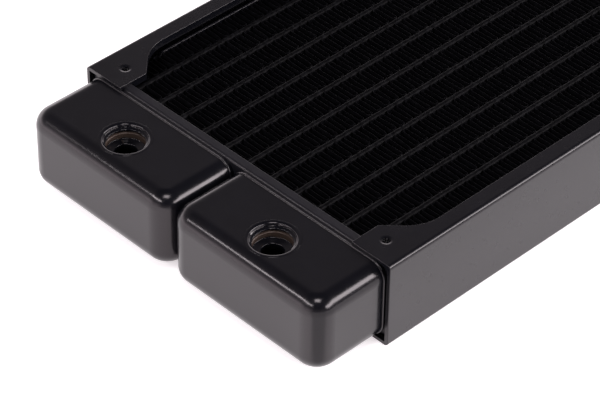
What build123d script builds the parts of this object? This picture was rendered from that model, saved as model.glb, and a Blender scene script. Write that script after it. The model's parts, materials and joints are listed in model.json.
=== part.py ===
from build123d import *
import math
import os

# Liquid cooling radiator for two 120 mm fans, in millimetres.
# X runs across the width, Y along the length from the port end to the return
# end, and Z up. The origin is the centre of the base of the whole radiator.

# ---------------------------------------------------------------- driving sizes
fan_hole_pitch = 105.0        # square pattern of a 120 mm fan
fan_spacing = 120.0           # centre to centre of the two fans
fan_hole_end = 7.2            # rail end to the first fan hole
rail_width = 122.4            # outside to outside of the two rails
rail_height = 28.5
rail_sheet = 1.2
rail_bend = 1.3               # outside radius of the rail bends
rail_edge = 0.2               # deburred outer edges of the sheet

front_overhang = 24.8         # tanks with ports, past the rail ends
rear_overhang = 20.0          # return tank, past the rail ends

# ------------------------------------------------------------- derived placing
rail_length = 2 * fan_hole_end + fan_hole_pitch + fan_spacing
overall_length = front_overhang + rail_length + rear_overhang
rail_front = front_overhang - overall_length / 2
rail_rear = rail_front + rail_length
mid_height = rail_height / 2
fan_centres = [
    rail_front + fan_hole_end + fan_hole_pitch / 2,
    rail_rear - fan_hole_end - fan_hole_pitch / 2,
]
rail_outside = rail_width / 2
rail_inside = rail_outside - rail_sheet

# ---------------------------------------------------------------- rail flanges
tab_edge = 46.6               # inner edge of the corner tabs, from the centre line
flange_edge = 55.6            # inner edge of the narrow flange along a fan
tab_half_window = 49.7        # fan centre to the start of a tab
window_radius = 14.0
lip_thickness = 1.0           # turned-in edge that stiffens the flange
lip_depth = 2.4
lip_end_gap = 5.2             # rail end to the start of the lip
fan_hole_radius = 1.25        # M3 tapped collar
collar_radius = 2.0
collar_depth = 2.5
dimple_radius = 1.85          # shallow dish round each collar
dimple_depth = 0.18

# --------------------------------------------------------------- header plates
header_sheet = 1.0
header_setback = 1.4          # rail end to the outer face of the header plate
header_depth = 3.2
header_corner = 3.0
header_bend = 0.9
header_edge = 0.25            # rounding of the open rim
header_half_width = rail_inside
header_height = rail_height - 2 * rail_sheet
header_front = rail_front + header_setback
header_rear = rail_rear - header_setback

# ------------------------------------------------------------------------ core
tube_pitch = 9.3
tube_thickness = 1.9
tube_depth = 22.5
tube_wall = 0.3
tube_protrusion = 0.8         # tube end past the header face, inside the tank
tubes_each_side = 5
fin_period = 3.5              # one full wave of a fin strip
fin_sheet = 0.2
fin_crest = 1.1               # flat of each fold, brazed to the tube
fin_depth = 22.1
fin_end_gap = 5.4             # rail end to the first fold
side_plate_inside = 54.2
side_plate_thickness = 0.8
side_plate_depth = 21.9
side_plate_end_drop = 2.8     # the plate narrows at its ends to enter the header
side_plate_end_length = 18.0

# ----------------------------------------------------------------------- tanks
tank_half_width = 59.0
tank_gap = 0.8                # between the two tanks of the port end
tank_height = 25.2
tank_wall = 1.0
tank_corner = 6.8             # upright corners
tank_edge = 5.0               # all other rounded edges
tank_bead = 0.35              # stiffening bead, proud of the tank all round
tank_bead_width = 0.8
tank_bead_round = 0.33
tank_bead_inset = 0.85        # open end of the tank to the bead

# ----------------------------------------------------------------------- ports
port_x = 29.75
port_y = rail_front - 12.9
port_thread_radius = 5.72     # G1/4 minor radius
port_thread_depth = 4.5
port_mouth_radius = 7.2
port_mouth_depth = 0.5
port_outside_radius = 7.95
port_length = 6.6
port_outlet_radius = 3.2

os.makedirs("parts", exist_ok=True)


def block(x0, x1, y0, y1, z0, z1):
    """Box between two corners."""
    size = (x1 - x0, y1 - y0, z1 - z0)
    centre = ((x0 + x1) / 2, (y0 + y1) / 2, (z0 + z1) / 2)
    return Pos(*centre) * Box(*size)


def upright_edges(shape, y_limit):
    """Edges along Z that lie on the outboard side of y_limit."""
    return [e for e in shape.edges().filter_by(Axis.Z) if e.center().Y < y_limit]


def save(node, shape):
    """One clean solid per node."""
    solids = shape.solids()
    kept = solids[0] if len(solids) == 1 else Compound(children=list(solids))
    kept.label = node
    export_step(kept, os.path.join("parts", node + ".step"))


# ----------------------------------------------------------------------- rails
def rail_opening():
    """Plan of the air opening beside the right rail, both fans."""
    margin = 5.0
    strip = Pos((tab_edge - margin) - 5.0, (rail_front + rail_rear) / 2) * Rectangle(
        2 * margin + 10.0, rail_length + 4 * margin
    )
    plan = strip
    slope = flange_edge - tab_edge
    for centre in fan_centres:
        window = Polygon(
            (tab_edge, centre - tab_half_window),
            (flange_edge, centre - tab_half_window + slope),
            (flange_edge, centre + tab_half_window - slope),
            (tab_edge, centre + tab_half_window),
            align=None,
        )
        rounded = [v for v in window.vertices() if v.X > flange_edge - 0.1]
        plan += fillet(rounded, window_radius)
    return plan


def rail_section():
    """C profile of the right rail, open towards the core."""
    outside = Polygon(
        (tab_edge, 0), (rail_outside, 0), (rail_outside, rail_height), (tab_edge, rail_height),
        align=None,
    )
    outside = fillet([v for v in outside.vertices() if v.X > rail_inside], rail_bend)
    inside = Polygon(
        (tab_edge - 1, rail_sheet), (rail_inside, rail_sheet),
        (rail_inside, rail_height - rail_sheet), (tab_edge - 1, rail_height - rail_sheet),
        align=None,
    )
    return outside - inside


def fan_hole_places():
    """Centres of the fan holes along one rail."""
    half = fan_hole_pitch / 2
    return [centre + side * half for centre in fan_centres for side in (-1, 1)]


def upper_lip(opening):
    """Edge of the top flange, turned down along the whole air opening."""
    band = offset(opening, lip_thickness, kind=Kind.ARC) - opening
    keep = Pos((tab_edge + rail_inside) / 2, (rail_front + rail_rear) / 2) * Rectangle(
        rail_inside - tab_edge, rail_length - 2 * lip_end_gap
    )
    band = band & keep
    foot = rail_height - lip_depth
    return Pos(0, 0, foot) * extrude(band, lip_depth - rail_sheet / 2, dir=(0, 0, 1))


def upper_collars():
    """Pressed collars under the fan holes of the top flange."""
    height = collar_depth - rail_sheet / 2
    z = rail_height - collar_depth + height / 2
    collars = [
        Pos(fan_hole_pitch / 2, y, z) * Cylinder(collar_radius, height)
        for y in fan_hole_places()
    ]
    return collars


def upper_drills():
    """Tapped bore and pressed dimple of each fan hole in the top flange."""
    tools = []
    for y in fan_hole_places():
        x = fan_hole_pitch / 2
        tools.append(Pos(x, y, rail_height - collar_depth) * Cylinder(fan_hole_radius, 3 * collar_depth))
        tools.append(
            Pos(x, y, rail_height - dimple_depth / 2)
            * Cone(fan_hole_radius, dimple_radius, dimple_depth)
        )
    return tools


def outer_sheet_edges(body):
    """Rim of the top and bottom faces, apart from the lines of the bends."""
    by_height = body.faces().sort_by(Axis.Z)
    rims = by_height[0].outer_wire().edges() + by_height[-1].outer_wire().edges()
    return [e for e in rims if e.center().X < rail_outside - rail_bend - rail_edge]


def side_rail():
    """Right rail; the left one is its mirror image."""
    section = Plane.XZ * rail_section()
    body = extrude(section, rail_length, dir=(0, 1, 0)).moved(Location((0, rail_front, 0)))
    opening = rail_opening()
    body -= Pos(0, 0, -1) * extrude(opening, rail_height + 2, dir=(0, 0, 1))
    middle = Plane.XY.offset(mid_height)
    extras = [upper_lip(opening)] + upper_collars()
    for extra in extras:
        body += extra
        body += extra.mirror(middle)
    body = fillet(outer_sheet_edges(body), rail_edge)
    for tool in upper_drills():
        body -= tool
        body -= tool.mirror(middle)
    return body


# --------------------------------------------------------------- header plates
def pan(half_width, height, depth, corner, bend):
    """Solid pan form, closed face at y = 0, running to y = depth."""
    form = block(-half_width, half_width, 0, depth, mid_height - height / 2, mid_height + height / 2)
    form = fillet(form.edges().filter_by(Axis.Y), corner)
    if bend > 0:
        face = form.faces().sort_by(Axis.Y)[0]
        form = fillet(face.edges(), bend)
    return form


def tube_places():
    """X of every coolant tube; the middle place holds the spacer bar."""
    steps = range(1, tubes_each_side + 1)
    return [-k * tube_pitch for k in reversed(steps)] + [k * tube_pitch for k in steps]


def flat_oval(thickness, height):
    """Flat tube outline, standing up in the XZ plane."""
    return SlotOverall(height, thickness, rotation=90)


def header_plate():
    """Pan with one slot for each coolant tube, for the port end."""
    outer = pan(header_half_width, header_height, header_depth, header_corner, header_bend)
    inner = pan(
        header_half_width - header_sheet,
        header_height - 2 * header_sheet,
        header_depth,
        header_corner - header_sheet,
        header_bend - header_sheet,
    )
    plate = outer - Pos(0, header_sheet, 0) * inner
    rim = plate.faces().sort_by(Axis.Y)[-1].outer_wire()
    plate = fillet(rim.edges(), header_edge)
    slot = extrude(Plane.XZ * flat_oval(tube_thickness, tube_depth), header_depth, both=True)
    for x in tube_places():
        plate -= Pos(x, 0, mid_height) * slot
    return plate


def turned_round(shape, y):
    """Same shape at the return end, its outer face at y."""
    return Pos(0, y, 0) * shape.mirror(Plane.XZ)


# ----------------------------------------------------------------------- tanks
def drawn_form(x0, x1, depth, height, corner, edge):
    """Rounded box form, closed end at y = -depth, open end at y = 0."""
    z0 = mid_height - height / 2
    z1 = mid_height + height / 2
    form = block(x0, x1, -depth, 0, z0, z1)
    form = fillet(upright_edges(form, -depth + 0.1), corner)
    top = form.faces().sort_by(Axis.Z)[-1]
    bottom = form.faces().sort_by(Axis.Z)[0]
    loops = [e for e in list(top.edges()) + list(bottom.edges()) if e.center().Y < -0.1]
    return fillet(loops, edge)


def bead(x0, x1):
    """Solid slice whose rounded edge stands proud of a tank as a bead."""
    outline = RectangleRounded(
        x1 - x0 + 2 * tank_bead, tank_height + 2 * tank_bead, tank_edge + tank_bead
    )
    slab = extrude(Plane.XZ * outline, tank_bead_width, dir=(0, -1, 0))
    slab = fillet(slab.faces().filter_by(Axis.Y).edges(), tank_bead_round)
    return Pos((x0 + x1) / 2, -tank_bead_inset, mid_height) * slab


def tank(x0, x1, depth):
    """Drawn tank with a bead near its open end, which is at y = 0."""
    shell = drawn_form(x0, x1, depth, tank_height, tank_corner, tank_edge)
    shell += bead(x0, x1)
    cavity = drawn_form(
        x0 + tank_wall,
        x1 - tank_wall,
        depth - tank_wall,
        tank_height - 2 * tank_wall,
        tank_corner - tank_wall,
        tank_edge - tank_wall,
    )
    return shell - cavity


def port_bushing(x):
    """G1/4 bushing, brazed into the tank top and flush with it."""
    top = mid_height + tank_height / 2
    foot = top - port_length
    bushing = Pos(x, port_y, (top + foot) / 2) * Cylinder(port_outside_radius, port_length)
    bushing -= Pos(x, port_y, top - port_thread_depth / 2) * Cylinder(
        port_thread_radius, port_thread_depth
    )
    bushing -= Pos(x, port_y, top - port_mouth_depth / 2) * Cone(
        port_thread_radius, port_mouth_radius, port_mouth_depth
    )
    bushing -= Pos(x, port_y, foot) * Cylinder(port_outlet_radius, port_length)
    return bushing


def port_tank(side):
    """Tank of one port; side is -1 for the left one and 1 for the right one."""
    near = side * tank_gap / 2
    far = side * tank_half_width
    shell = tank(min(near, far), max(near, far), front_overhang + header_setback)
    shell = Pos(0, header_front, 0) * shell
    top = mid_height + tank_height / 2
    return shell - Pos(side * port_x, port_y, top) * Cylinder(port_outside_radius, 4 * tank_wall)


# ------------------------------------------------------------------------ core
def coolant_tube(x):
    """Hollow flat tube, its ends past both header plates."""
    start = header_front - tube_protrusion
    length = header_rear + tube_protrusion - start
    section = flat_oval(tube_thickness, tube_depth) - flat_oval(
        tube_thickness - 2 * tube_wall, tube_depth - 2 * tube_wall
    )
    return Pos(x, start, mid_height) * extrude(Plane.XZ * section, length, dir=(0, 1, 0))


def spacer_bar():
    """Solid bar on the centre line, between the faces of the header plates."""
    start = header_front + header_sheet
    length = header_rear - header_sheet - start
    section = Plane.XZ * flat_oval(tube_thickness, tube_depth)
    return Pos(0, start, mid_height) * extrude(section, length, dir=(0, 1, 0))


def shifted_path(points, distance):
    """Polyline moved sideways by a distance, with mitred corners."""
    moved = []
    for i, (x, y) in enumerate(points):
        before = points[max(i - 1, 0)]
        after = points[min(i + 1, len(points) - 1)]
        normals = []
        for (ax, ay), (bx, by) in ((before, (x, y)), ((x, y), after)):
            run = math.hypot(bx - ax, by - ay)
            if run > 0:
                normals.append(((ay - by) / run, (bx - ax) / run))
        nx = sum(n[0] for n in normals) / len(normals)
        ny = sum(n[1] for n in normals) / len(normals)
        scale = distance / (nx * nx + ny * ny)
        moved.append((x + nx * scale, y + ny * scale))
    return moved


def fin_strip(x0, x1):
    """Folded fin between two upright walls at x0 and x1."""
    usable = rail_length - 2 * fin_end_gap
    waves = int(usable // fin_period)
    start = (rail_front + rail_rear) / 2 - waves * fin_period / 2
    left = x0 + fin_sheet / 2
    right = x1 - fin_sheet / 2
    half = fin_period / 2
    points = []
    for fold in range(2 * waves + 1):
        x = left if fold % 2 == 0 else right
        y = start + fold * half
        points.append((x, y - fin_crest / 2))
        points.append((x, y + fin_crest / 2))
    outline = shifted_path(points, fin_sheet / 2) + shifted_path(points, -fin_sheet / 2)[::-1]
    profile = make_face(Polyline(*outline, close=True))
    return Pos(0, 0, mid_height) * extrude(profile, fin_depth / 2, both=True)


def core_side_plate():
    """Right side plate of the core, narrowed where its ends meet the headers."""
    start = header_front + header_sheet
    end = header_rear - header_sheet
    half = side_plate_depth / 2
    narrow = half - side_plate_end_drop
    shoulder = side_plate_end_length
    plan = Polygon(
        (start, -narrow), (start + shoulder, -narrow),
        (start + shoulder + side_plate_end_drop, -half),
        (end - shoulder - side_plate_end_drop, -half),
        (end - shoulder, -narrow), (end, -narrow),
        (end, narrow), (end - shoulder, narrow),
        (end - shoulder - side_plate_end_drop, half),
        (start + shoulder + side_plate_end_drop, half),
        (start + shoulder, narrow), (start, narrow),
        align=None,
    )
    standing = Plane.YZ * plan
    return Pos(side_plate_inside, 0, mid_height) * extrude(
        standing, side_plate_thickness, dir=(1, 0, 0)
    )


def wall_faces():
    """Left and right faces of every space that holds a fin strip."""
    bars = sorted(tube_places() + [0.0])
    half = tube_thickness / 2
    lefts = [-side_plate_inside] + [x + half for x in bars]
    rights = [x - half for x in bars] + [side_plate_inside]
    return list(zip(lefts, rights))


# -------------------------------------------------------------------- assembly
right_rail = side_rail()
save("side_rail_right", right_rail)
save("side_rail_left", right_rail.mirror(Plane.YZ))

front_header = header_plate()
save("header_plate_front", Pos(0, header_front, 0) * front_header)
save("header_plate_rear", turned_round(front_header, header_rear))

save("inlet_tank", port_tank(-1))
save("outlet_tank", port_tank(1))
return_tank = tank(-tank_half_width, tank_half_width, rear_overhang + header_setback)
save("return_tank", turned_round(return_tank, header_rear))

save("inlet_port_bushing", port_bushing(-port_x))
save("outlet_port_bushing", port_bushing(port_x))

for number, x in enumerate(tube_places(), start=1):
    save(f"coolant_tube_{number:02d}", coolant_tube(x))
save("centre_spacer_bar", spacer_bar())

for number, (x0, x1) in enumerate(wall_faces(), start=1):
    save(f"fin_strip_{number:02d}", fin_strip(x0, x1))

right_plate = core_side_plate()
save("core_side_plate_right", right_plate)
save("core_side_plate_left", right_plate.mirror(Plane.YZ))
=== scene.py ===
import bmesh
import bpy
import json
import math
import numpy as np
from mathutils import Matrix, Vector


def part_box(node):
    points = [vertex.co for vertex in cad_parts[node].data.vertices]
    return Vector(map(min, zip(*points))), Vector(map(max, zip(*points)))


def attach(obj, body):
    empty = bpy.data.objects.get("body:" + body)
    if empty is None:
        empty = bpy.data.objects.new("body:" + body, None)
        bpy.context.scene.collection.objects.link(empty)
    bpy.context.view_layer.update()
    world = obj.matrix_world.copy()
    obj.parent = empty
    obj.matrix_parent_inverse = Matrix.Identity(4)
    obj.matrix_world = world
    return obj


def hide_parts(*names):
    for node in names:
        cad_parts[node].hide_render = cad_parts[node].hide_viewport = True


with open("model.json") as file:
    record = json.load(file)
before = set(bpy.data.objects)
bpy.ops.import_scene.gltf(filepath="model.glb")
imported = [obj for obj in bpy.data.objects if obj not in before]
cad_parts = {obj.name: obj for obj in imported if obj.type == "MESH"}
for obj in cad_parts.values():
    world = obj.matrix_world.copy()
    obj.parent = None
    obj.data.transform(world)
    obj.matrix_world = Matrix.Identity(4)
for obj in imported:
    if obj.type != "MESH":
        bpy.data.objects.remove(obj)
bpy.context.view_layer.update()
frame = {"nodes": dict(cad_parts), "record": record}

MM = 0.001
random = np.random.default_rng(7)

# Places on the object, read from the frame, in metres.
rail_low, rail_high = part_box("side_rail_right")
tank_low, tank_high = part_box("outlet_tank")
rail_front = rail_low.y
top_z = rail_high.z
mid_z = (rail_low.z + rail_high.z) / 2
tank_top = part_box("outlet_port_bushing")[1].z


# ------------------------------------------------------------------- node help
class Nodes:
    """Short calls that add and wire the nodes of one tree."""

    def __init__(self, tree, coordinates):
        self.tree = tree
        self.place = tree.nodes.new("ShaderNodeTexCoord").outputs[coordinates]

    def link(self, source, target):
        self.tree.links.new(source, target)

    def feed(self, socket, value):
        """Sets a socket to a number or a colour, or links it to another socket."""
        if isinstance(value, tuple):
            socket.default_value = (*value, 1.0)
        elif isinstance(value, (int, float)):
            socket.default_value = value
        else:
            self.link(value, socket)

    def noise(self, size, detail=2.0):
        """Noise with features of a size in metres."""
        node = self.tree.nodes.new("ShaderNodeTexNoise")
        node.inputs["Scale"].default_value = 1 / size
        node.inputs["Detail"].default_value = detail
        self.link(self.place, node.inputs["Vector"])
        return node.outputs["Fac"]

    def remap(self, value, low, high, to_low, to_high):
        node = self.tree.nodes.new("ShaderNodeMapRange")
        self.link(value, node.inputs["Value"])
        for name, number in zip(("From Min", "From Max", "To Min", "To Max"), (low, high, to_low, to_high)):
            node.inputs[name].default_value = number
        return node.outputs["Result"]

    def math(self, operation, a, b=0.0):
        node = self.tree.nodes.new("ShaderNodeMath")
        node.operation = operation
        self.feed(node.inputs[0], a)
        self.feed(node.inputs[1], b)
        return node.outputs["Value"]

    def blend(self, factor, first, second):
        node = self.tree.nodes.new("ShaderNodeMix")
        node.data_type = "RGBA"
        self.link(factor, node.inputs["Factor"])
        self.feed(node.inputs[6], first)
        self.feed(node.inputs[7], second)
        return node.outputs[2]

    def bump(self, height, depth, normal=None):
        node = self.tree.nodes.new("ShaderNodeBump")
        node.inputs["Distance"].default_value = depth
        self.link(height, node.inputs["Height"])
        if normal is not None:
            self.link(normal, node.inputs["Normal"])
        return node.outputs["Normal"]

    def along(self, axis):
        """Coordinate along X, Y or Z."""
        parts = self.tree.nodes.new("ShaderNodeSeparateXYZ")
        self.link(self.place, parts.inputs["Vector"])
        return parts.outputs[axis]


class Shader(Nodes):
    """A material with one principled shader; its coordinates are in metres."""

    def __init__(self, name):
        self.material = bpy.data.materials.new(name)
        self.material.use_nodes = True
        self.material.node_tree.nodes.clear()
        super().__init__(self.material.node_tree, "Object")
        output = self.tree.nodes.new("ShaderNodeOutputMaterial")
        self.principled = self.tree.nodes.new("ShaderNodeBsdfPrincipled")
        self.link(self.principled.outputs["BSDF"], output.inputs["Surface"])

    def set(self, **values):
        """Numbers and colours that are the same all over the surface."""
        for name, value in values.items():
            self.principled.inputs[name.replace("_", " ")].default_value = value

    def drive(self, **sources):
        """Sockets that are driven by nodes."""
        for name, source in sources.items():
            self.link(source, self.principled.inputs[name.replace("_", " ")])


# ------------------------------------------------------------------- materials
COAT = (0.0033, 0.0034, 0.0052)
HEADER_COAT = (0.0074, 0.0074, 0.0104)
COAT_TINT = (1.0, 0.90, 0.935, 1.0)       # of its reflections
COAT_IOR = 1.5
CLOUD_SIZE = 9 * MM
GLOSS_SIZE = 3 * MM
PEEL_SIZE = 1.6 * MM
GRAIN_SIZE = 0.25 * MM
PEEL_DEPTH = 0.0012 * MM
GRAIN_DEPTH = 0.0004 * MM

BEAD_INSET = 1.25 * MM         # open end of a tank to the middle of its bead
BEAD_CREST = 0.42 * MM         # width that is rubbed
BEAD_FADE = 1.5 * MM           # the rubbed part starts this far below the tank's top
RUBBED_METAL = (0.24, 0.225, 0.235)
RUBBED_SIZE = 7 * MM

BRASS = (0.085, 0.055, 0.043)
BRASS_DULL = (0.036, 0.025, 0.021)
BARE_TOP = 2.6 * MM            # depths in a port between which the coat is worn off
BARE_FOOT = 4.2 * MM
BARE_RAGGED = 0.18 * MM        # how far the ends of that stretch wander
RAGGED_SIZE = 1.4 * MM
MOTTLE_SIZE = 0.6 * MM

PATCH_SIZE = 1.2 * MM          # sprayed paint on the core
SPRAY_SIZE = 0.35 * MM
SPRAY_DEPTH = 0.02 * MM


def coat_colour(s, base=COAT):
    """Black powder coat, slightly cloudy."""
    clouds = s.remap(s.noise(CLOUD_SIZE, detail=3.0), 0.35, 0.75, 0.0, 1.0)
    lighter = tuple(1.3 * channel for channel in base)
    return s.blend(clouds, base, lighter)


def coat_roughness(s, smoothest, roughest):
    return s.remap(s.noise(GLOSS_SIZE, detail=4.0), 0.3, 0.7, smoothest, roughest)


def coat_texture(s, peel=PEEL_DEPTH, grain=GRAIN_DEPTH):
    """Orange peel with a fine grain on it."""
    waves = s.bump(s.noise(PEEL_SIZE, detail=1.0), peel)
    return s.bump(s.noise(GRAIN_SIZE), grain, normal=waves)


def powder_coat(name, base=COAT, roughness=(0.23, 0.28), peel=PEEL_DEPTH):
    s = Shader(name)
    s.drive(
        Base_Color=coat_colour(s, base),
        Roughness=coat_roughness(s, *roughness),
        Normal=coat_texture(s, peel),
    )
    s.set(IOR=COAT_IOR, Specular_Tint=COAT_TINT)
    return s.material


def tank_paint(name, beads):
    """Powder coat, rubbed thin along the crest of each bead, where the metal shows."""
    s = Shader(name)
    away = [s.math("ABSOLUTE", s.math("SUBTRACT", s.along("Y"), bead)) for bead in beads]
    crest_edge = BEAD_CREST / 2
    near_bead = s.remap(s.math("MINIMUM", *away), crest_edge - 0.08 * MM, crest_edge, 1.0, 0.0)
    high_up = s.remap(s.along("Z"), tank_top - BEAD_FADE, tank_top, 0.0, 1.0)
    rubbed = s.remap(s.noise(RUBBED_SIZE), 0.30, 0.60, 0.45, 1.0)
    bare = s.math("MULTIPLY", s.math("MULTIPLY", near_bead, high_up), rubbed)
    s.drive(
        Base_Color=s.blend(bare, coat_colour(s), RUBBED_METAL),
        Metallic=bare,
        Roughness=coat_roughness(s, 0.17, 0.22),
        Normal=coat_texture(s),
    )
    s.set(IOR=COAT_IOR, Specular_Tint=COAT_TINT)
    return s.material


def core_paint(name, colour, light, gloss):
    """Thin matt paint sprayed over the core, uneven along the edges."""
    s = Shader(name)
    patches = s.noise(PATCH_SIZE, detail=3.0)
    s.drive(
        Base_Color=s.blend(s.remap(patches, 0.45, 0.72, 0.0, 1.0), colour, light),
        Normal=s.bump(s.noise(SPRAY_SIZE), SPRAY_DEPTH),
    )
    s.set(Roughness=0.5, IOR=COAT_IOR, Specular_IOR_Level=gloss, Specular_Tint=COAT_TINT)
    return s.material


def coated_brass(name):
    """Powder coat, worn to dull brass on the thread's run-out and the plain bore under it."""
    s = Shader(name)
    ragged = s.remap(s.noise(RAGGED_SIZE), 0.3, 0.7, -BARE_RAGGED, BARE_RAGGED)
    level = s.math("ADD", s.along("Z"), ragged)
    foot = tank_top - BARE_FOOT
    top = tank_top - BARE_TOP
    above_foot = s.remap(level, foot - 0.2 * MM, foot, 0.0, 1.0)
    below_top = s.remap(level, top, top + 0.5 * MM, 1.0, 0.0)
    bare = s.math("MULTIPLY", above_foot, below_top)
    brass = s.blend(s.noise(MOTTLE_SIZE, detail=4.0), BRASS_DULL, BRASS)
    s.drive(
        Base_Color=s.blend(bare, coat_colour(s), brass),
        Metallic=s.math("MULTIPLY", bare, 0.25),
        Roughness=s.remap(bare, 0.0, 1.0, 0.12, 0.36),
        Normal=coat_texture(s, peel=0.001 * MM, grain=0.0003 * MM),
    )
    s.set(IOR=COAT_IOR, Specular_Tint=COAT_TINT)
    return s.material


rail_coat = powder_coat("rail_powder_coat")
tank_coat = tank_paint(
    "tank_powder_coat", beads=(tank_high.y - BEAD_INSET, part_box("return_tank")[0].y + BEAD_INSET)
)
header_coat = powder_coat("header_powder_coat", HEADER_COAT, roughness=(0.33, 0.42), peel=0.003 * MM)
plate_coat = powder_coat("side_plate_coat", roughness=(0.22, 0.30))
thread_coat = powder_coat("screw_thread_coat", roughness=(0.12, 0.18))
tube_paint = core_paint("tube_paint", (0.0016, 0.0015, 0.0020), (0.0066, 0.0064, 0.0078), gloss=0.05)
fin_paint = core_paint("fin_paint", (0.0024, 0.0023, 0.0032), (0.0050, 0.0048, 0.0062), gloss=0.08)
port_metal = coated_brass("port_coated_brass")


def coat_node(node, material):
    """Gives a CAD node one material in every slot."""
    slots = frame["nodes"][node].data.materials
    for index in range(len(slots)):
        slots[index] = material
    if not slots:
        slots.append(material)


for name in frame["nodes"]:
    if name.startswith("side_rail"):
        coat_node(name, rail_coat)
    elif name.endswith("tank"):
        coat_node(name, tank_coat)
    elif name.startswith("header"):
        coat_node(name, header_coat)


# ---------------------------------------------------------------- mesh building
def place_piece(piece, replaced):
    """Puts a new piece in the scene; it rides on the radiator's one body."""
    bpy.context.scene.collection.objects.link(piece)
    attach(piece, "root")
    if replaced:
        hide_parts(*replaced)


def add_piece(name, points, faces, material, replaced=(), smooth=True):
    mesh = bpy.data.meshes.new(name)
    mesh.from_pydata([tuple(p) for p in points], [], [tuple(f) for f in faces])
    mesh.materials.append(material)
    mesh.polygons.foreach_set("use_smooth", [smooth] * len(mesh.polygons))
    mesh.update()
    place_piece(bpy.data.objects.new(name, mesh), replaced)


def grid_faces(rows, columns, close_rows, close_columns):
    """Quads over a grid of points, row by row; either way may close on itself."""
    faces = []
    for r in range(rows if close_rows else rows - 1):
        row = r * columns
        below = (r + 1) % rows * columns
        for c in range(columns if close_columns else columns - 1):
            right = (c + 1) % columns
            faces.append((row + c, row + right, below + right, below + c))
    return faces


def end_caps(rows, columns):
    """Two faces that close a tube whose rows, one after another, go round it."""
    return [
        [r * columns for r in range(rows)],
        [r * columns + columns - 1 for r in reversed(range(rows))],
    ]


# ------------------------------------------------------------- threaded bushings
THREAD_PITCH = 1.337 * MM
THREAD_MINOR = 5.72 * MM
THREAD_MAJOR = 6.55 * MM
THREAD_LENGTH = 2.7 * MM
THREAD_FLANK = 3.2             # steepness of the flanks
BORE_DEPTH = 4.5 * MM
BORE_LEVELS = 80
MOUTH_REACH = 0.95 * MM        # rounded mouth, wider than it is deep
MOUTH_DROP = 0.50 * MM
RIM_ROUND = 0.22 * MM
OUTLET_RADIUS = 3.2 * MM
OUTLET_ROUND = 0.3 * MM
BUSHING_TURNS = 160            # points round a bushing


def thread_radius(depth, angle):
    """Radius of the bore at a depth: a flattened V thread that runs out below."""
    phase = (depth / THREAD_PITCH - angle / (2 * math.pi)) % 1.0
    ridge = min(1.0, max(0.0, 1.5 - THREAD_FLANK * abs(phase - 0.5)))
    fade_in = min(1.0, depth / (0.5 * THREAD_PITCH))
    fade_out = min(1.0, max(0.0, (THREAD_LENGTH - depth) / (0.5 * THREAD_PITCH)))
    height = THREAD_MAJOR - THREAD_MINOR
    groove = height * (1.0 - ridge)
    return THREAD_MINOR + groove * fade_out + (height - groove) * (1.0 - fade_in)


def rounding(radius, z, reach, drop, angles):
    """Section points of an edge that falls away by drop, while it closes in by reach."""
    return [
        (radius + reach * (1 - math.sin(turn)), z - drop * (1 - math.cos(turn)))
        for turn in angles
    ]


def add_bushing(node, material):
    """Bushing with a real thread: its section is turned once round the port."""
    low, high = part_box(node)
    centre = (low + high) / 2
    outside = (high.x - low.x) / 2
    bore_floor = high.z - BORE_DEPTH
    quarter = np.linspace(0.0, math.pi / 2, 9)
    outer_wall = [(outside, low.z)]
    outer_wall += [
        (outside - RIM_ROUND * (1 - math.cos(turn)), high.z - RIM_ROUND * (1 - math.sin(turn)))
        for turn in quarter[::2]
    ]
    mouth = rounding(THREAD_MAJOR, high.z, MOUTH_REACH, MOUTH_DROP, quarter)
    bore_depths = np.linspace(MOUTH_DROP + 0.04 * MM, BORE_DEPTH - 0.12 * MM, BORE_LEVELS)
    outlet = [(THREAD_MINOR - 0.1 * MM, bore_floor)]
    outlet += rounding(OUTLET_RADIUS, bore_floor, OUTLET_ROUND, OUTLET_ROUND, quarter[::2])
    outlet.append((OUTLET_RADIUS, low.z))
    points = []
    for turn in range(BUSHING_TURNS):
        angle = 2 * math.pi * turn / BUSHING_TURNS
        bore = [(thread_radius(depth - MOUTH_DROP, angle), high.z - depth) for depth in bore_depths]
        for radius, z in outer_wall + mouth + bore + outlet:
            points.append((centre.x + radius * math.cos(angle), centre.y + radius * math.sin(angle), z))
    faces = grid_faces(BUSHING_TURNS, len(points) // BUSHING_TURNS, True, True)
    add_piece(node + "_threaded", points, faces, material, [node])


# ------------------------------------------------------------------- fin strips
FIN_PITCH = 1.75 * MM          # leg to leg
FIN_SHEET = 0.12 * MM
FIN_TURN = 0.62 * MM           # reach of each rounded fold
FIN_EDGE = 1.5 * MM            # part of the height that can be bent about
LEG_SHARES = (0.0, 0.22, 0.5, 0.78, 1.0)
FOLD_SHARES = (0.15, 0.5, 0.85)
LEG_SCATTER = 0.08 * MM        # spread of the legs' places, lean and bow
LEG_LEAN = 0.05 * MM
LEG_BOW = 0.06 * MM
EDGE_SWAY = 0.09 * MM          # how far the upper and lower edges are bent
EDGE_DROOP = 0.22 * MM
EDGE_KNOT = 4                  # points of the path from one bend to the next
BEND_START = 0.4               # shares of the edge and of its bend, part of the way in
BEND_SHARE = 0.35


def first_fold(low, high):
    """Place along Y before the first leg, and the number of legs."""
    legs = int((high.y - low.y) / FIN_PITCH)
    return low.y + (high.y - low.y - legs * FIN_PITCH) / 2, legs


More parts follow.
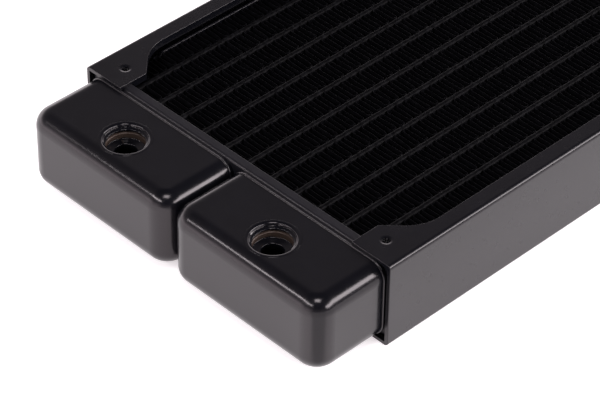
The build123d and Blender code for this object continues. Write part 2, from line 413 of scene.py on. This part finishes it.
def fin_path(x0, x1, y0, legs):
    """Middle line of a folded strip, seen from above, with uneven legs."""
    path = []
    places = y0 + FIN_PITCH * (np.arange(legs) + 0.5) + random.normal(0, LEG_SCATTER, legs)
    lean = random.normal(0, LEG_LEAN, legs)
    bow = random.normal(0, LEG_BOW, legs)
    for leg in range(legs):
        way = 1 if leg % 2 == 0 else -1
        start, end = (x0, x1) if way > 0 else (x1, x0)
        straight = end - start - 2 * way * FIN_TURN
        for share in LEG_SHARES:
            x = start + way * FIN_TURN + straight * share
            swing = lean[leg] * (2 * share - 1) + bow[leg] * (1 - (2 * share - 1) ** 2)
            path.append((x, places[leg] + swing))
        if leg + 1 < legs:
            here = places[leg] + lean[leg]
            ahead = places[leg + 1] - lean[leg + 1]
            for share in FOLD_SHARES:
                x = end - way * FIN_TURN * (1 - math.sin(math.pi * share) ** 0.5)
                path.append((x, here + (ahead - here) * (0.5 - 0.5 * math.cos(math.pi * share))))
    return np.array(path)


def add_fin_strip(node):
    """Folded strip of thin sheet, its upper and lower edges slightly bent about."""
    low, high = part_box(node)
    half_sheet = FIN_SHEET / 2
    path = fin_path(low.x + half_sheet, high.x - half_sheet, *first_fold(low, high))
    count = len(path)
    step = np.gradient(path, axis=0)
    normal = np.stack((-step[:, 1], step[:, 0]), axis=1)
    normal /= np.linalg.norm(normal, axis=1)[:, None]
    knots = np.arange(0, count + EDGE_KNOT, EDGE_KNOT)
    sway = np.interp(np.arange(count), knots, random.normal(0, EDGE_SWAY, len(knots)))
    droop = np.interp(np.arange(count), knots, random.uniform(0, EDGE_DROOP, len(knots)))
    levels = (
        (low.z, 1.0), (low.z + BEND_START * FIN_EDGE, BEND_SHARE), (low.z + FIN_EDGE, 0.0),
        (high.z - FIN_EDGE, 0.0), (high.z - BEND_START * FIN_EDGE, BEND_SHARE), (high.z, 1.0),
    )
    rows = []
    for side, order in ((half_sheet, levels), (-half_sheet, levels[::-1])):
        for z, share in order:
            plan = path + normal * side
            x = np.clip(plan[:, 0], low.x, high.x)
            y = np.clip(plan[:, 1] + sway * share, low.y, high.y)
            toward_middle = -1 if z > mid_z else 1
            rows.append(np.stack((x, y, z + toward_middle * droop * share), axis=1))
    faces = grid_faces(len(rows), count, True, False) + end_caps(len(rows), count)
    add_piece(node + "_folded", np.concatenate(rows), faces, fin_paint, [node], smooth=False)


# -------------------------------------------------------- tubes and spacer bar
TUBE_STEP = 0.55 * MM          # along the length
TUBE_WALL = 0.3 * MM
TUBE_ARC_POINTS = 7
BRAZE_REACH = 0.38 * MM        # fillet where a fold meets the tube
BRAZE_LENGTH = 0.36 * MM
BARE_SIDE = 0.03 * MM          # the tube's side lies this far inside its box
CROWN_SPACING = 0.9 * MM       # uneven crown of the rounded edges
CROWN_DROP = 0.16 * MM
FLAT_SHARES = (0.12, 0.88)     # heights of the points on the flat sides


def braze_profile(stations, first, offset):
    """Height of the brazing fillets along one side of a tube, from 0 to 1."""
    away = (stations - first - offset * FIN_PITCH) % (2 * FIN_PITCH)
    away = np.minimum(away, 2 * FIN_PITCH - away)
    return np.exp(-(away / BRAZE_LENGTH) ** 2) * random.uniform(0.5, 1.0, len(stations))


def uneven(stations, spacing, amount):
    """Smooth random values along the stations, between 0 and amount."""
    knots = np.arange(stations[0], stations[-1] + 2 * spacing, spacing)
    return np.interp(stations, knots, random.uniform(0, amount, len(knots)))


def bar_rows(low, high, stations):
    """Rows of points along a flat bar, which go once round its rounded section."""
    middle = (low.x + high.x) / 2
    half = (high.x - low.x) / 2
    flat_height = high.z - low.z - 2 * half
    first = first_fold(*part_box("fin_strip_02"))[0]
    brazed = np.abs(stations) < -first
    right, left = (
        np.where(brazed, half - BARE_SIDE + BRAZE_REACH * braze_profile(stations, first, offset), half)
        for offset in (2.0, 1.0)
    )
    rows = []

    def add_row(x, z):
        rows.append(np.stack(np.broadcast_arrays(x, stations, z), axis=1))

    for edge, sign, near_side, far_side in ((high.z, 1, right, left), (low.z, -1, left, right)):
        crown = half - uneven(stations, CROWN_SPACING, CROWN_DROP) * brazed
        axis_z = edge - sign * half
        for turn in np.linspace(0, math.pi, TUBE_ARC_POINTS):
            reach = near_side if turn < math.pi / 2 else far_side
            add_row(middle + sign * math.cos(turn) * reach, axis_z + sign * math.sin(turn) * crown)
        for share in FLAT_SHARES:
            add_row(middle - sign * half, axis_z - sign * share * flat_height)
    return rows


def bore_points(rows, low, high):
    """Front and back point of the inner wall for each row of the outer one."""
    middle_x = (low.x + high.x) / 2
    middle_z = (low.z + high.z) / 2
    half = (high.x - low.x) / 2
    narrower = (half - TUBE_WALL) / half
    lower = 1 - 2 * TUBE_WALL / (high.z - low.z)
    return np.array([
        (middle_x + np.clip(x - middle_x, -half, half) * narrower, y, middle_z + (z - middle_z) * lower)
        for row in rows
        for x, y, z in (row[0], row[-1])
    ])


def bore_faces(rows, count):
    """Faces of the inner wall, and the two rings that join it to the outer one."""
    faces = []
    start = rows * count
    for r in range(rows):
        ahead = (r + 1) % rows
        front, front_ahead = start + 2 * r, start + 2 * ahead
        back, back_ahead = front + 1, front_ahead + 1
        faces.append((front, front_ahead, back_ahead, back))
        faces.append((r * count, ahead * count, front_ahead, front))
        faces.append((ahead * count + count - 1, r * count + count - 1, back, back_ahead))
    return faces


def add_core_bar(node, hollow):
    """Flat tube or bar whose rounded edges carry the uneven brazing fillets."""
    low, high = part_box(node)
    stations = np.linspace(low.y, high.y, int((high.y - low.y) / TUBE_STEP))
    rows = bar_rows(low, high, stations)
    points = np.concatenate(rows)
    faces = grid_faces(len(rows), len(stations), True, False)
    if hollow:
        points = np.concatenate((points, bore_points(rows, low, high)))
        faces += bore_faces(len(rows), len(stations))
    else:
        faces += end_caps(len(rows), len(stations))
    add_piece(node + "_brazed", points, faces, tube_paint, [node])


# --------------------------------------------------- side plates, rounded edges
PLATE_ROUND = 0.22 * MM


def add_rounded_copy(node, radius, material):
    """Copy of a CAD node with its sharp edges rounded."""
    mesh = bpy.data.meshes.new(node + "_rounded")
    form = bmesh.new()
    form.from_mesh(frame["nodes"][node].data)
    bmesh.ops.remove_doubles(form, verts=form.verts, dist=0.001 * MM)
    bmesh.ops.dissolve_limit(form, angle_limit=math.radians(2), verts=form.verts, edges=form.edges)
    sharp = [e for e in form.edges if e.calc_face_angle(0) > math.radians(30)]
    bmesh.ops.bevel(form, geom=sharp, offset=radius, segments=3, profile=0.5, affect="EDGES")
    form.to_mesh(mesh)
    form.free()
    mesh.materials.clear()
    mesh.materials.append(material)
    place_piece(bpy.data.objects.new(node + "_rounded", mesh), [node])


# ------------------------------------------------------------ screw hole threads
SCREW_PITCH = 0.5 * MM
SCREW_RIDGE = 0.13 * MM
SCREW_ROOT = 0.02 * MM         # how far a ridge's foot reaches into the collar
SCREW_START = 0.35 * MM
SCREW_STEPS = 24               # points in one turn
COLLAR_DEPTH = 2.5 * MM


def fan_holes():
    """Place, bore radius and inward direction of each fan hole on both faces."""
    for mount in frame["record"]["mounts"]:
        if mount["kind"] != "bolt_pattern":
            continue
        dims = mount["dims"]
        centre_x, centre_y, face_z = mount["pos_m"]
        for side_x in (-0.5, 0.5):
            for side_y in (-0.5, 0.5):
                x = centre_x + side_x * dims["spacing_x_mm"] * MM
                y = centre_y + side_y * dims["spacing_y_mm"] * MM
                yield (x, y, face_z), dims["hole_r_mm"] * MM, -mount["axis"][2]


def add_screw_threads():
    """Helical ridges in the collared fan holes of both faces, as one piece."""
    points = []
    faces = []
    count = (int(COLLAR_DEPTH / SCREW_PITCH) - 1) * SCREW_STEPS + 1
    foot = 0.4 * SCREW_PITCH
    for (x, y, face_z), bore, inward in fan_holes():
        start = len(points)
        for step in range(count):
            angle = 2 * math.pi * step / SCREW_STEPS
            taper = min(1.0, step / SCREW_STEPS, (count - 1 - step) / SCREW_STEPS)
            depth = SCREW_START + SCREW_PITCH * step / SCREW_STEPS
            for reach, rise in ((SCREW_ROOT, -foot), (-SCREW_RIDGE * taper, 0.0), (SCREW_ROOT, foot)):
                radius = bore + reach
                z = face_z + inward * (depth + rise)
                points.append((x + radius * math.cos(angle), y + radius * math.sin(angle), z))
        faces += [tuple(start + i for i in face) for face in grid_faces(count, 3, False, True)]
        end = len(points)
        faces.append((start, start + 1, start + 2))
        faces.append((end - 1, end - 2, end - 3))
    add_piece("fan_hole_threads", points, faces, thread_coat)


for bushing in ("inlet_port_bushing", "outlet_port_bushing"):
    add_bushing(bushing, port_metal)
for node in sorted(frame["nodes"]):
    if node.startswith("fin_strip"):
        add_fin_strip(node)
    elif node.startswith("coolant_tube"):
        add_core_bar(node, hollow=True)
    elif node == "centre_spacer_bar":
        add_core_bar(node, hollow=False)
    elif node.startswith("core_side_plate"):
        add_rounded_copy(node, PLATE_ROUND, plate_coat)
add_screw_threads()


# ------------------------------------------------------------------------ stage
LIGHT_TINT = (1.0, 0.93, 0.96)
FLOOR_HALF = 6.0               # metres
POOL_EDGE = (-2.0 * MM, 3.0 * MM)
SHADE_REACH = 12 * MM          # painted contact shade round the object, darkening the floor's glow
SHADE_LEVEL = 0.6
FADE_REACH = 70 * MM           # the floor's painted glow fades towards +X, a painted shade on that side
FADE_LEVEL = 0.25
WEDGE_INSET = 3 * MM           # tank's corner to the point that the painted dim wedge in the floor's glow opens from


def direction(azimuth, elevation):
    """Unit vector for angles in degrees: azimuth 0 is the port end, 90 is +X."""
    a = math.radians(azimuth)
    e = math.radians(elevation)
    return Vector((math.sin(a) * math.cos(e), -math.cos(a) * math.cos(e), math.sin(e)))


def add_floor(corner, dim, bright, azimuths):
    """Pale paper floor with painted light: it glows in two pools that meet in a dimmer wedge of painted
    shade.

    The wedge opens from the corner, between two azimuths.
    """
    mesh = bpy.data.meshes.new("floor")
    corners = [(-1, -1), (1, -1), (1, 1), (-1, 1)]
    mesh.from_pydata([(x * FLOOR_HALF, y * FLOOR_HALF, 0) for x, y in corners], [], [(0, 1, 2, 3)])
    floor = bpy.data.objects.new("floor", mesh)
    bpy.context.scene.collection.objects.link(floor)
    s = Shader("floor_paper_painted_glow")
    x = s.along("X")
    y = s.along("Y")
    # painted light: two pools of glow with soft straight edges, dim in the painted wedge between them
    pools = []
    for azimuth, side in zip(azimuths, (-1, 1)):
        a = math.radians(azimuth)
        east = s.math("MULTIPLY", s.math("SUBTRACT", x, corner.x), side * math.cos(a))
        north = s.math("MULTIPLY", s.math("SUBTRACT", y, corner.y), side * math.sin(a))
        pools.append(s.remap(s.math("ADD", east, north), *POOL_EDGE, dim, bright))
    glow = s.math("MAXIMUM", *pools)
    # painted shade: the floor's glow fades towards +X
    fade = s.remap(x, corner.x, corner.x + FADE_REACH, 1.0, FADE_LEVEL)
    # painted contact shade: ambient occlusion darkens the floor's glow near the object
    contact = s.tree.nodes.new("ShaderNodeAmbientOcclusion")
    contact.inputs["Distance"].default_value = SHADE_REACH
    shade = s.remap(contact.outputs["AO"], 0.0, 1.0, SHADE_LEVEL, 1.0)
    s.drive(Emission_Strength=s.math("MULTIPLY", s.math("MULTIPLY", glow, fade), shade))
    s.set(Base_Color=(0.85, 0.85, 0.85, 1.0), Roughness=0.9, Emission_Color=(*LIGHT_TINT, 1.0))
    mesh.materials.append(s.material)


def add_softbox(name, aim, azimuth, elevation, distance, width, height, radiance):
    """Area light that is seen from aim in a direction."""
    toward = direction(azimuth, elevation)
    light = bpy.data.lights.new(name, "AREA")
    light.shape = "RECTANGLE"
    light.size = width
    light.size_y = height
    light.energy = radiance * math.pi * width * height
    box = bpy.data.objects.new(name, light)
    box.location = aim + toward * distance
    box.rotation_mode = "QUATERNION"
    box.rotation_quaternion = toward.to_track_quat("Z", "Y")
    box.visible_camera = False
    bpy.context.scene.collection.objects.link(box)


def add_studio_world(stops, fades):
    """Surroundings that fade from the white floor's horizon to a dark ceiling.

    stops are elevations in degrees, each with its level. fades dim them along X:
    from full at the first place of the unit sphere to a level at the second.
    """
    world = bpy.data.worlds.new("studio")
    world.use_nodes = True
    s = Nodes(world.node_tree, "Generated")
    ramp = s.tree.nodes.new("ShaderNodeValToRGB")
    s.link(s.along("Z"), ramp.inputs["Fac"])
    elements = ramp.color_ramp.elements
    while len(elements) < len(stops):
        elements.new(0.5)
    for element, (elevation, level) in zip(elements, stops):
        element.position = math.sin(math.radians(elevation))
        element.color = (*(level * channel for channel in LIGHT_TINT), 1.0)
    near, far = (s.remap(s.along("X"), start, end, 1.0, level) for start, end, level in fades)
    background = s.tree.nodes["Background"]
    s.link(ramp.outputs["Color"], background.inputs["Color"])
    s.link(s.math("MULTIPLY", near, far), background.inputs["Strength"])
    bpy.context.scene.world = world


def add_camera(aim, azimuth, elevation, roll, distance, lens):
    data = bpy.data.cameras.new("camera")
    data.lens = lens
    data.sensor_width = 36.0
    data.clip_start = 0.01
    data.clip_end = 50.0
    camera = bpy.data.objects.new("camera", data)
    back = direction(azimuth, elevation)
    turn = Matrix.Rotation(math.radians(roll), 3, "Z")
    camera.rotation_mode = "QUATERNION"
    camera.rotation_quaternion = (back.to_track_quat("Z", "Y").to_matrix() @ turn).to_quaternion()
    camera.location = aim + back * distance
    bpy.context.scene.collection.objects.link(camera)
    bpy.context.scene.camera = camera


aim = Vector((24.66 * MM, rail_front + 2.17 * MM, top_z))
wedge_corner = Vector((tank_high.x - WEDGE_INSET, tank_low.y + WEDGE_INSET))
add_camera(aim, azimuth=45.34, elevation=39.52, roll=0.764, distance=0.7763, lens=171.61)
# the floor glows with painted light, dimmer in a painted wedge that opens from the tank's corner
add_floor(wedge_corner, dim=0.25, bright=1.0, azimuths=(20, 84))
add_softbox("softbox_left", aim, 347, 38, distance=1.0, width=0.98, height=0.085, radiance=15.0)
add_softbox("softbox_right", aim, 125, 26, distance=1.0, width=1.50, height=0.32, radiance=9.0)
add_softbox("softbox_top", aim, 46, 70, distance=1.2, width=0.38, height=0.36, radiance=8.0)
add_studio_world(
    stops=[(0, 2.4), (7, 2.2), (14, 1.2), (21, 0.4), (30, 0.21), (48, 0.19), (60, 0.06)],
    fades=[(-0.5, -0.25, 0.65), (0.1, 0.5, 0.22)],
)
bpy.context.scene.view_settings.view_transform = "Standard"
